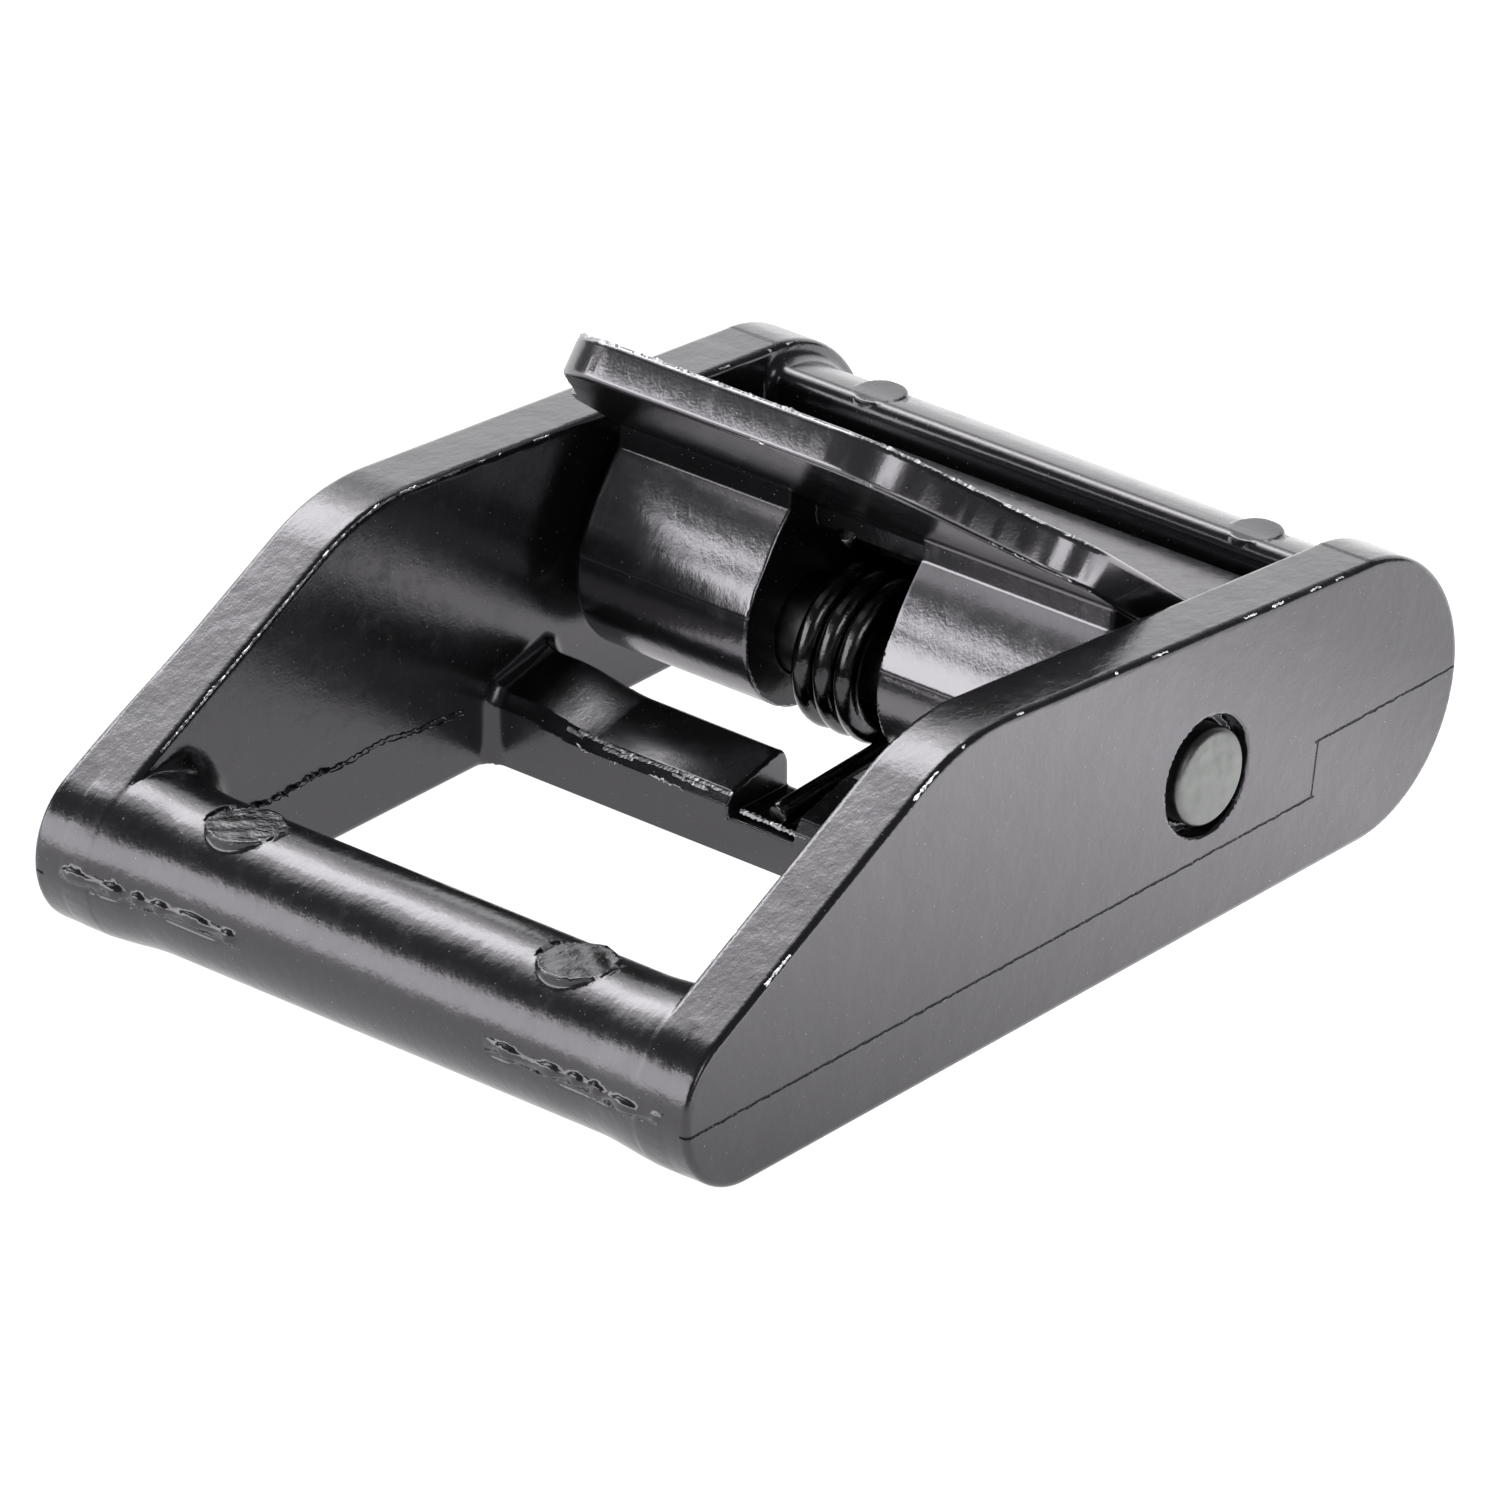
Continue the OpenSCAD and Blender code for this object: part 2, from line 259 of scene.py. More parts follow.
def thumb_outline():
    """Thumb plate seen square on: X across, the other axis back from the front edge."""
    front_r, flank, waist_r, waist, heel_r, flank_l = 4.0, 60.0, 2.1, 40.0, 2.3, 5.4
    sf, cf = math.sin(math.radians(flank)), math.cos(math.radians(flank))
    sw, cw = math.sin(math.radians(waist)), math.cos(math.radians(waist))
    fx, fy = THUMB_TIP + front_r * sf + flank_l * cf, front_r * (1 - cf) + flank_l * sf
    wx, wy = fx + waist_r * sf, fy - waist_r * cf
    ex, ey = wx - waist_r * sw, wy + waist_r * cw
    run = (THUMB_HALF - heel_r * (1 - sw) - ex) / cw
    hx, hy = ex + run * cw - heel_r * sw, ey + run * sw + heel_r * cw
    half = (
        bend(THUMB_TIP, front_r, front_r, -90, flank - 90, 44)
        + bend(wx, wy, waist_r, flank + 90, waist + 90, 14)
        + bend(hx, hy, heel_r, waist - 90, 0, 24)
        + [(THUMB_HALF, THUMB_L + 1.9)]
    )
    return half + [(-px, py) for px, py in reversed(half)]


def on_cam(a, depth):
    """A point at an angle on the growing cam, lower by a tooth's depth."""
    r = CAM_R - CAM_RISE * (CAM_TOP - a) - depth
    return (r * math.cos(math.radians(a)), r * math.sin(math.radians(a)))


def cam_outline():
    """Web and toothed cam seen along X, from the pin's centre."""
    top_z = CAM_R * math.sin(math.radians(CAM_TOP))
    teeth = [
        on_cam(CAM_TOP - TOOTH_STEP * (i + 0.65 * k), k * TOOTH_DEPTH)
        for i in range(TEETH) for k in (0, 1)
    ]
    return (
        bend(HUB_Y, HUB_Z, HUB_FRONT_R, 200, 165, 12)
        + bend(*HOLLOW, 20)[:-1]
        + [(WEB - 0.1, 5.25), (WEB, 6.3), (3.6, 4.1), (4.6, top_z)]
        + teeth
        + [on_cam(CAM_TOP - TOOTH_STEP * TEETH, 0), (2.6, -2.6), (0, 0)]
    )


def lever_field(x, s, n):
    """The lever, with s along the thumb plate to the rear and n square to it, from the pin."""
    y = s * math.cos(TILT) + n * math.sin(TILT)
    z = -s * math.sin(TILT) + n * math.cos(TILT)
    plate = slab(n, THUMB_OFF, THUMB_OFF + THUMB_T)
    thumb = cut(polygon_field(x, s + THUMB_L, thumb_outline()), plate, THUMB_EDGE)
    ends = slab(x, -HUB_HALF + 0.25, HUB_HALF)
    hub = cut(np.hypot(y - HUB_Y, z - HUB_Z) - HUB_R + 0.1, ends, HUB_EDGE)
    cam = cut(polygon_field(y, z, cam_outline()) + 0.08, ends, CAM_EDGE) - 0.08
    body = melt(hub, cam, 0.15)
    # The slot is round about the pin and runs up to the thumb plate in front of the cam
    round_pin = np.hypot(y, z)
    roof = n - THUMB_OFF + 0.03
    above = np.maximum(np.maximum(roof, y * 0.9 + z * 0.05 - 0.5), -z - 8)
    gap = np.maximum(np.minimum(round_pin - SLOT_R, above), slab(x + LEVER_SHIFT, *SLOT))
    body = cut(body, -gap, 0.1)
    body = join(body, thumb, 0.12)
    return cut(body, PIN_R + 0.07 - round_pin, BORE_EDGE)


def surface(field, low, high, step):
    """Turns a field into points and quads: one vertex in each cell that the surface crosses."""
    axes = [np.arange(a, b + step, step) for a, b in zip(low, high)]
    values = field(axes[0][:, None, None], axes[1][None, :, None], axes[2][None, None, :])
    inside = values < 0
    count = [n - 1 for n in inside.shape]
    corners = [(i, j, k) for i in (0, 1) for j in (0, 1) for k in (0, 1)]

    def shifted(c):
        return inside[c[0] : c[0] + count[0], c[1] : c[1] + count[1], c[2] : c[2] + count[2]]

    # The cells with corners on both sides of the surface
    some, every = shifted(corners[0]).copy(), shifted(corners[0]).copy()
    for c in corners[1:]:
        some |= shifted(c)
        every &= shifted(c)
    cells = np.argwhere(some & ~every)
    number = np.full(count, -1)
    number[tuple(cells.T)] = np.arange(len(cells))
    # Each cell's vertex starts at the mean of the points where its edges cross the surface
    total, hits = np.zeros((len(cells), 3)), np.zeros(len(cells))
    for a in corners:
        for axis in range(3):
            if a[axis]:
                continue
            b = tuple(a[m] + (m == axis) for m in range(3))
            fa, fb = values[tuple((cells + a).T)], values[tuple((cells + b).T)]
            hit = (fa < 0) != (fb < 0)
            t = np.where(hit, fa / np.where(hit, fa - fb, 1), 0)
            point = np.array(a, float) + t[:, None] * (np.array(b) - np.array(a))
            total += point * hit[:, None]
            hits += hit
    points = np.array(low) + (cells + total / hits[:, None]) * step

    def slope(p, e):
        """The field's slope at points, measured e to either side."""
        rows = []
        for axis in range(3):
            d = np.zeros(3)
            d[axis] = e
            rows.append(field(*(p + d).T) - field(*(p - d).T))
        return np.array(rows).T / (2 * e)

    # Two steps along the slope bring each vertex onto the surface
    for _ in range(2):
        g = slope(points, SLOPE_REACH)
        f = field(*points.T)
        move = f / np.maximum((g * g).sum(1), 0.2)
        points -= np.clip(move, -step / 2, step / 2)[:, None] * g
    # One quad round each grid edge that crosses the surface
    quads = []
    for axis in range(3):
        u, v = (axis + 1) % 3, (axis + 2) % 3
        first = [slice(None)] * 3
        first[axis] = slice(0, -1)
        second = [slice(None)] * 3
        second[axis] = slice(1, None)
        a, b = inside[tuple(first)], inside[tuple(second)]
        edges = np.argwhere(a != b)
        eu, ev = edges[:, u], edges[:, v]
        edges = edges[(eu > 0) & (ev > 0) & (eu < count[u]) & (ev < count[v])]
        ring = []
        for du, dv in ((-1, -1), (0, -1), (0, 0), (-1, 0)):
            cell = edges.copy()
            cell[:, u] += du
            cell[:, v] += dv
            ring.append(number[tuple(cell.T)])
        ring = np.array(ring).T
        out = a[tuple(edges.T)]
        quads.append(np.where(out[:, None], ring, ring[:, ::-1]))
    quads = np.concatenate(quads)
    return points, quads, slope


def added(name, data):
    """A new object in the scene."""
    made = bpy.data.objects.new(name, data)
    bpy.context.scene.collection.objects.link(made)
    return made


def solid_piece(name, field, low, high, step, place):
    """Meshes a field, thins out its flat parts and keeps the field's own normals."""
    points, quads, slope = surface(field, low, high, step)
    mesh = bpy.data.meshes.new(name)
    mesh.from_pydata(points.tolist(), [], quads.tolist())
    work = bmesh.new()
    work.from_mesh(mesh)
    bmesh.ops.dissolve_limit(work, angle_limit=FLAT_WITHIN, verts=work.verts, edges=work.edges)
    bmesh.ops.triangulate(work, faces=work.faces)
    work.to_mesh(mesh)
    work.free()
    local = np.empty(len(mesh.vertices) * 3)
    mesh.vertices.foreach_get("co", local)
    local = local.reshape(-1, 3)
    normals = slope(local, NORMAL_REACH)
    normals /= np.maximum(np.linalg.norm(normals, axis=1), 1e-9)[:, None]
    turn = np.array(place.to_3x3())
    shift = np.array(place.translation)
    mesh.vertices.foreach_set("co", ((local @ turn.T + shift) * MM).ravel())
    mesh.update()
    mesh.shade_smooth()
    mesh.normals_split_custom_set_from_vertices((normals @ turn.T).tolist())
    return added(name, mesh)


def lathe(name, outline, sides):
    """Revolves (x, radius) points about the pin's axis."""
    work = bmesh.new()
    rings = []
    for x, r in outline:
        if r < 1e-6:
            rings.append([work.verts.new((x * MM, PIN_Y * MM, PIN_Z * MM))])
            continue
        rings.append([
            work.verts.new((x * MM, (PIN_Y + r * math.cos(a)) * MM, (PIN_Z + r * math.sin(a)) * MM))
            for a in (2 * math.pi * k / sides for k in range(sides))
        ])
    for a, b in zip(rings, rings[1:]):
        for k in range(sides):
            m = (k + 1) % sides
            if len(a) == 1:
                work.faces.new((a[0], b[m], b[k]))
            elif len(b) == 1:
                work.faces.new((a[k], a[m], b[0]))
            else:
                work.faces.new((a[k], a[m], b[m], b[k]))
    bmesh.ops.recalc_face_normals(work, faces=work.faces)
    mesh = bpy.data.meshes.new(name)
    work.to_mesh(mesh)
    work.free()
    mesh.shade_smooth()
    return added(name, mesh)


def wire_points():
    """The spring's route: foot on the middle bar, close coils, hand under the thumb plate."""
    sweep = COIL_END - COIL_START + 360 * COIL_TURNS

    def coil(t):
        a = math.radians(COIL_START + sweep * t)
        x = COIL_X - COIL_PITCH * sweep / 360 * t
        return np.array([x, PIN_Y + COIL_R * math.cos(a), PIN_Z + COIL_R * math.sin(a)])

    a0, a1 = math.radians(COIL_START), math.radians(COIL_END)
    foot = np.array([FOOT_X - COIL_X, FOOT_RUN * math.sin(a0), -FOOT_RUN * math.cos(a0)])
    hand = HAND_RUN * np.array([-0.02, -math.sin(a1), math.cos(a1)])
    foot_steps, coil_steps, hand_steps = 14, 190, 6
    path = [coil(0) + foot * (1 - i / foot_steps) for i in range(foot_steps)]
    path += [coil(i / coil_steps) for i in range(coil_steps + 1)]
    path += [coil(1) + hand * i / hand_steps for i in range(1, hand_steps + 1)]
    return np.array(path)


def tube(name, path, radius, sides):
    """A round wire along a path, with its two cut ends slightly rounded."""
    along = np.gradient(path, axis=0)
    along /= np.linalg.norm(along, axis=1)[:, None]
    side = np.cross(along, [1.0, 0.0, 0.0])
    side /= np.linalg.norm(side, axis=1)[:, None]
    other = np.cross(along, side)
    bevel = 0.09
    start = [(path[0], radius - bevel), (path[0] + along[0] * bevel, radius)]
    end = [(path[-1] - along[-1] * bevel, radius), (path[-1], radius - bevel)]
    rings = [(c, r, side[0], other[0]) for c, r in start]
    rings += [(path[i], radius, side[i], other[i]) for i in range(1, len(path) - 1)]
    rings += [(c, r, side[-1], other[-1]) for c, r in end]
    work = bmesh.new()
    loops = []
    for c, r, u, v in rings:
        loop = []
        for k in range(sides):
            a = 2 * math.pi * k / sides
            loop.append(work.verts.new((c + r * (math.cos(a) * u + math.sin(a) * v)) * MM))
        loops.append(loop)
    for a, b in zip(loops, loops[1:]):
        for k in range(sides):
            m = (k + 1) % sides
            work.faces.new((a[k], a[m], b[m], b[k]))
    work.faces.new(list(reversed(loops[0])))
    work.faces.new(loops[-1])
    bmesh.ops.recalc_face_normals(work, faces=work.faces)
    for face in work.faces:
        face.smooth = len(face.verts) == 4
    mesh = bpy.data.meshes.new(name)
    work.to_mesh(mesh)
    work.free()
    return added(name, mesh)


# Faces of a closed prism between two rings of three points
PRISM = ((0, 1, 4, 3), (1, 2, 5, 4), (0, 2, 1), (3, 4, 5), (0, 3, 5, 2))


def ragged(strips, seed):
    """Torn flash: each strip is (path, outward, heights, half width), a line of small uneven ridges."""
    dice = np.random.default_rng(seed)
    verts, faces = [], []
    for path, outward, heights, half in strips:
        along = np.gradient(path, axis=0)
        along /= np.linalg.norm(along, axis=1)[:, None]
        side = np.cross(along, outward)
        tall = heights * dice.uniform(0.25, 1.0, len(path))
        thick = half * dice.uniform(0.6, 1.4, len(path))
        tips = path + outward * tall[:, None] + along * (dice.uniform(-0.5, 0.5, len(path)) * half)[:, None]
        tips += side * (dice.uniform(-0.7, 0.7, len(path)) * half)[:, None]
        low = outward * FLASH_ROOT
        rings = np.stack([path + side * thick[:, None] - low, tips, path - side * thick[:, None] - low], 1)
        for i in range(len(path) - 1):
            if min(heights[i], heights[i + 1]) <= FLASH_LEAST:
                continue
            base = len(verts)
            verts.extend((rings[i : i + 2].reshape(-1, 3) * MM).tolist())
            faces += [tuple(base + c for c in face) for face in PRISM]
    return verts, faces


def patchy(n, seed, share):
    """Heights between 0 and 1 along a strip, with bare stretches between."""
    dice = np.random.default_rng(seed)
    knots = dice.uniform(0, 1, n // 6 + 3)
    smooth = np.interp(np.arange(n) / 6, np.arange(len(knots)), knots)
    return np.clip((smooth - (1 - share)) / share, 0, 1)


def flash_piece(name, strips, seed, body, material):
    """Builds torn or worn strips as a piece that rides on a body."""
    verts, faces = ragged(strips, seed)
    mesh = bpy.data.meshes.new(name)
    mesh.from_pydata(verts, [], faces)
    mesh.update()
    work = bmesh.new()
    work.from_mesh(mesh)
    bmesh.ops.recalc_face_normals(work, faces=work.faces)
    work.to_mesh(mesh)
    work.free()
    piece = added(name, mesh)
    mesh.materials.append(material)
    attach(piece, body)


def line_3d(x, y, z):
    """Points from arrays or single values of each coordinate."""
    x, y, z = np.broadcast_arrays(x, y, z)
    return np.stack([x, y, z], 1).astype(float)


def frame_strips():
    """Torn paint on the front bar's gates, and flash on the inner walls."""
    strips = []
    low_x, high_x = GATE_X
    for first_x, last_x in ((-high_x, -low_x - 0.1), (low_x + 0.1, high_x)):
        xs = np.arange(first_x, last_x, 0.11)
        for k, dz in enumerate((-0.28, 0.22)):
            zs = gate_line(xs) + dz
            r = FRONT_BAR_R + (NOSE_R - FRONT_BAR_R) * ease(np.abs(xs), *FLARE_X)
            ys = NOSE_Y - np.sqrt(r * r - (zs - NOSE_R) ** 2)
            path = line_3d(xs, ys, zs)
            out = line_3d(0, ys - NOSE_Y, zs - NOSE_R) / r[:, None]
            strips.append((path, out, 0.07 * patchy(len(xs), 40 + k + int(first_x), 0.6), 0.06))
    for side in (-1, 1):
        ys = np.arange(*WALL_Y, 0.12)
        zs = PARTING_Z + 0.1 - 0.4 * ease(ys, *WALL_FALL) + 0.05 * np.sin(ys * 1.7)
        path = line_3d(side * INNER_X, ys, zs)
        out = line_3d(np.full(len(ys), -side), 0, 0)
        beads = np.abs(np.sin((ys + 14) * 1.9)) * (ease(ys, *BEADS_START) - ease(ys, *BEADS_STOP))
        strips.append((path, out, 0.07 + 0.3 * beads, 0.1))
        strips.append((path + [0, 0, -0.16], out, 0.05 + 0.05 * patchy(len(ys), 31 + side, 0.5), 0.08))
    return strips


def worn_strips():
    """Bare zinc along the middle bar's front edge and the side plates' upper edges."""
    strips = []
    # Each line: its place behind and above the step, how far it faces forward, how much shows
    xs = np.arange(*WORN_X, 0.1)
    lines = ((0.3, 0.9, -0.5, 0.85), (0.2, 0.78, -0.6, 0.5), (0.02, 0.44, -0.9, 0.7))
    for k, (dy, dz, lean_y, share) in enumerate(lines):
        zs = MID_STEP + dz + ramp(xs) + 0.03 * np.sin(xs * 1.3 + k)
        path = line_3d(xs, MID_FRONT + dy, zs)
        path = path[(xs < NOTCH[0]) | (k == 2)]
        out = line_3d(np.zeros(len(path)), lean_y, math.sqrt(1 - lean_y * lean_y))
        tall = 0.06 * ease(path[:, 0], *WORN_START) * patchy(len(path), 41 + k, share)
        strips.append((path, out, tall, 0.09))
    # The side plates' top line, found by stepping down onto the profile
    ys = np.arange(NOSE_Y - 1.5, TAIL_Y + 2, 0.09)
    heights = np.full(len(ys), 8.0)
    for _ in range(40):
        heights -= side_profile_field(ys, heights)
    edges = (
        (FRAME_W / 2 - 0.07, 0.3), (INNER_X + 0.07, 0.2),
        (-INNER_X - 0.07, 0.45), (0.07 - FRAME_W / 2, 0.05),
    )
    for k, (x, share) in enumerate(edges):
        outside = abs(x) > FRAME_W / 2 - 1
        face = math.copysign(0.6, x) * (1 if outside else -1)
        path = line_3d(x, ys, heights - 0.08)
        out = line_3d(np.full(len(ys), face), -0.3, 0.74)
        strips.append((path, out, 0.045 * patchy(len(ys), 61 + k, share), 0.07))
    # The left plate's slope is worn bare along its inner edge
    slope = (ys > WORN_SLOPE[0]) & (ys < WORN_SLOPE[1])
    path = line_3d(-INNER_X - 0.05, ys, heights - 0.1)[slope]
    out = line_3d(np.full(len(path), 0.5), -0.3, 0.81)
    strips.append((path, out, 0.02 + 0.03 * patchy(len(path), 90, 0.9), 0.05))
    return strips


def turned(x, s, n):
    """Points or directions from the thumb plate's own axes to the frame's."""
    return line_3d(x, s * math.cos(TILT) + n * math.sin(TILT), -s * math.sin(TILT) + n * math.cos(TILT))


def lever_strips():
    """Bare zinc along the thumb plate's upper and lower edges."""
    strips = []
    outline = np.array(thumb_outline())
    outline = outline[(outline[:, 1] < THUMB_L + 1)]
    half = int(np.argmax(np.hypot(*np.diff(outline, axis=0).T)))
    right, left = outline[: half + 1], outline[half + 1 :][::-1]
    # Each rim: its height, how far it faces up, the ridge's height and how much of it shows
    rims = ((THUMB_OFF + THUMB_T - 0.07, 0.7, 0.16, 0.8), (THUMB_OFF + 0.08, -0.7, 0.05, 0.35))
    for k, (part, sign) in enumerate(((right, 1), (left, -1))):
        part = np.vstack([[[0, 0.0]], part])
        run = np.concatenate([[0], np.cumsum(np.hypot(*np.diff(part, axis=0).T))])
        at = np.arange(0, run[-1], 0.09)
        px, ps = np.interp(at, run, part[:, 0]), np.interp(at, run, part[:, 1])
        tx, ts = np.gradient(px), np.gradient(ps)
        norm = np.hypot(tx, ts)
        nx, ns = sign * ts / norm, -sign * tx / norm
        for high, up, tall, share in rims:
            path = turned(px - nx * 0.07, ps - THUMB_L - ns * 0.07, high)
            path += [LEVER_SHIFT, PIN_Y, PIN_Z]
            out = turned(0.7 * nx, 0.7 * ns, up)
            strips.append((path, out, tall * patchy(len(at), 81 + 7 * k + int(high), share), 0.07))
    return strips


# Materials
PAINT, DUST = (0.007, 0.007, 0.0078, 1), (0.22, 0.22, 0.23, 1)
PAINT_TINT, GLOSS = (1.0, 0.965, 1.03, 1), 0.5


class Graph:
    """Short names for building a material's nodes."""

    def __init__(self, name):
        self.material = bpy.data.materials.new(name)
        self.material.use_nodes = True
        self.tree = self.material.node_tree
        self.shader = self.tree.nodes["Principled BSDF"]
        self.where = self.node("ShaderNodeTexCoord").outputs["Object"]

    def node(self, kind, **settings):
        made = self.tree.nodes.new(kind)
        for key, value in settings.items():
            setattr(made, key, value)
        return made

    def feed(self, socket, value):
        if isinstance(value, bpy.types.NodeSocket):
            self.tree.links.new(value, socket)
        else:
            socket.default_value = value

    def math(self, operation, a, b=0.0, c=0.0):
        made = self.node("ShaderNodeMath", operation=operation)
        for socket, value in zip(made.inputs, (a, b, c)):
            self.feed(socket, value)
        return made.outputs[0]

    def noise(self, size_mm, detail=2.0, rough=0.5, where=None):
        made = self.node("ShaderNodeTexNoise")
        self.feed(made.inputs["Vector"], where or self.where)
        made.inputs["Scale"].default_value = 1 / (size_mm * MM)
        made.inputs["Detail"].default_value = detail
        made.inputs["Roughness"].default_value = rough
        return made.outputs["Fac"]

    def span(self, value, low, high, to_low=0.0, to_high=1.0):
        made = self.node("ShaderNodeMapRange")
        for socket, v in zip(made.inputs, (value, low, high, to_low, to_high)):
            self.feed(socket, v)
        return made.outputs[0]

    def bump(self, height, distance_mm, under=None, strength=1.0):
        made = self.node("ShaderNodeBump")
        made.inputs["Strength"].default_value = strength
        made.inputs["Distance"].default_value = distance_mm * MM
        self.feed(made.inputs["Height"], height)
        if under is not None:
            self.feed(made.inputs["Normal"], under)
        return made.outputs[0]

    def mix(self, factor, a, b):
        made = self.node("ShaderNodeMix", data_type="RGBA")
        self.feed(made.inputs[0], factor)
        self.feed(made.inputs[6], a)
        self.feed(made.inputs[7], b)
        return made.outputs[2]


def parting_line(g, x, y, z):
    """The mould's parting line on the side plates' outer faces, with its step: 1 on the line."""
    crooked = g.math("MULTIPLY", g.math("SUBTRACT", g.noise(0.5, 2.0), 0.5), 0.14)
    behind_step = g.math("GREATER_THAN", y, JOG_Y + 0.2)
    level = g.math("ADD", g.math("MULTIPLY", behind_step, JOG_RISE), g.math("ADD", crooked, PARTING_Z))
    flat = g.math("ABSOLUTE", g.math("SUBTRACT", z, level))
    slant = g.math("MULTIPLY", g.math("SUBTRACT", z, PARTING_Z), 0.17)
    aside = g.math("ABSOLUTE", g.math("SUBTRACT", g.math("SUBTRACT", y, slant), JOG_Y))
    from_middle = g.math("ABSOLUTE", g.math("SUBTRACT", z, PARTING_Z + JOG_RISE / 2))
    beyond = g.math("SUBTRACT", from_middle, JOG_RISE / 2)
    near = g.math("MINIMUM", flat, g.math("MAXIMUM", aside, beyond))
    line = g.span(g.math("ADD", near, g.math("MULTIPLY", crooked, 0.3)), 0.035, 0.075, 1.0, 0.0)
    return g.math("MULTIPLY", line, g.math("GREATER_THAN", g.math("ABSOLUTE", x), FRAME_W / 2 - 0.35))


def on_front_pads(g, x, y, z):
    """1 on the left front ejector pad, less on the smoother right one."""
    beside = [g.math("ABSOLUTE", g.math("SUBTRACT", x, pad_x)) for pad_x in PADS]
    mask = g.math("LESS_THAN", g.math("MINIMUM", *beside), PAD_R - 0.08)
    mask = g.math("MULTIPLY", mask, g.math("GREATER_THAN", z, 2 * FRONT_BAR_R))
    mask = g.math("MULTIPLY", mask, g.math("LESS_THAN", y, NOSE_Y + 2))
    return g.math("MULTIPLY", mask, g.span(x, -1, 1, 1.0, 0.3))


def lever_gloss_and_painted_shade(g, x, y, z, flank):
    """The lever's gloss, lowered as painted shade in the spring's slot and in the corner under the left of
    the thumb plate.
    """
    back = g.math("MULTIPLY", g.math("SUBTRACT", y, PIN_Y), math.sin(TILT))
    up = g.math("MULTIPLY", g.math("SUBTRACT", z, PIN_Z), math.cos(TILT))
    level = g.math("ADD", back, up)
    # Painted shade: the gloss drops in the spring's slot and in the corner under the thumb plate's left half
    painted_shade_recess = g.math("MAXIMUM", g.math("GREATER_THAN", x, SLOT[0] - 0.02), g.span(z, CORNER_Z, CORNER_Z + 0.3))
    painted_shade_recess = g.math("MULTIPLY", painted_shade_recess, g.math("LESS_THAN", x, SLOT[1] + 0.02))
    painted_shade_recess = g.math("MULTIPLY", painted_shade_recess, g.math("LESS_THAN", level, THUMB_OFF + 0.02))
    # Painted shade: the gloss is also lowered on a band of the thumb plate's right flank
    edge = g.math("MULTIPLY", flank, g.math("LESS_THAN", level, THUMB_OFF + THUMB_T - 0.05))
    rise_from, rise_to, fall_from, fall_to = FLANK_PAINTED_SHADE
    middle = g.math("MULTIPLY", g.span(x, rise_from, rise_to), g.span(x, fall_from, fall_to, 1.0, 0.0))
    edge = g.math("MULTIPLY", edge, middle)
    return g.math("SUBTRACT", g.span(painted_shade_recess, 0, 1, GLOSS, 0.08), g.math("MULTIPLY", edge, 0.3))


def black_coat(name, ior, low_rough, high_rough, parted):
    """Gloss black paint over a casting; parted is for the frame, which has the parting line."""
    g = Graph(name)
    apart = g.node("ShaderNodeSeparateXYZ")
    g.feed(apart.inputs[0], g.where)
    x, y, z = (g.math("MULTIPLY", axis, 1 / MM) for axis in apart.outputs)
    g.shader.inputs["IOR"].default_value = ior
    g.shader.inputs["Specular Tint"].default_value = PAINT_TINT
    across = g.node("ShaderNodeVectorMath", operation="MULTIPLY")
    g.feed(across.inputs[0], g.where)
    across.inputs[1].default_value = (1.0, 0.65, 0.65)
    wave = g.noise(2.4, 1.5)
    hammered = g.noise(0.36, 2.5, 0.55, across.outputs[0])
    grain = g.noise(0.11, 2.0, 0.6)
    # The faces between the side plates are smoother than the rest
    within = g.math("LESS_THAN", g.math("ABSOLUTE", x), INNER_X + 0.04)
    calm = g.math("MULTIPLY", within, g.math("GREATER_THAN", y, NOSE_Y + FRONT_BAR_R))
    waving = g.span(calm, 0, 1, 1.0, 0.4)
    hammering = g.span(calm, 0, 1, 1.0, 0.35 if parted else 0.6)
    if not parted:
        # So is the thumb plate's right flank
        flank = g.math("MULTIPLY", g.math("GREATER_THAN", z, FLANK_Z), g.math("GREATER_THAN", x, FLANK_X))
        waving = g.math("MULTIPLY", waving, g.span(flank, 0, 1, 1.0, 0.4))
        hammering = g.math("MULTIPLY", hammering, g.span(flank, 0, 1, 1.0, 0.25))
    normal = g.bump(g.math("MULTIPLY", wave, waving), 0.05)
    normal = g.bump(g.math("MULTIPLY", hammered, hammering), 0.017, normal)
    normal = g.bump(grain, 0.004, normal)
    scuffs = g.span(g.noise(1.1, 5.0, 0.7), 0.5, 0.72)
    if parted:
        line = parting_line(g, x, y, z)
        normal = g.bump(line, -0.09, normal)
        cast = g.math("MULTIPLY", on_front_pads(g, x, y, z), g.noise(0.32, 3.0, 0.6))
        normal = g.bump(cast, 0.06, normal)
        chips = g.math("GREATER_THAN", g.noise(0.13, 1.0), 0.66)
        shine = g.span(g.math("SUBTRACT", line, chips), 0, 1, GLOSS, 0.06)
    else:
        # The lever's gloss carries painted shade in the spring's slot, under the left of the thumb plate and
        # on its right flank
        shine = lever_gloss_and_painted_shade(g, x, y, z, flank)
    g.feed(g.shader.inputs["Normal"], normal)
    g.feed(g.shader.inputs["Roughness"], g.span(scuffs, 0, 1, low_rough, high_rough))
    g.feed(g.shader.inputs["Specular IOR Level"], shine)
    dust = g.span(g.noise(0.11, 1.0), 0.765, 0.8)
    g.feed(g.shader.inputs["Base Color"], g.mix(dust, PAINT, DUST))
    return g.material


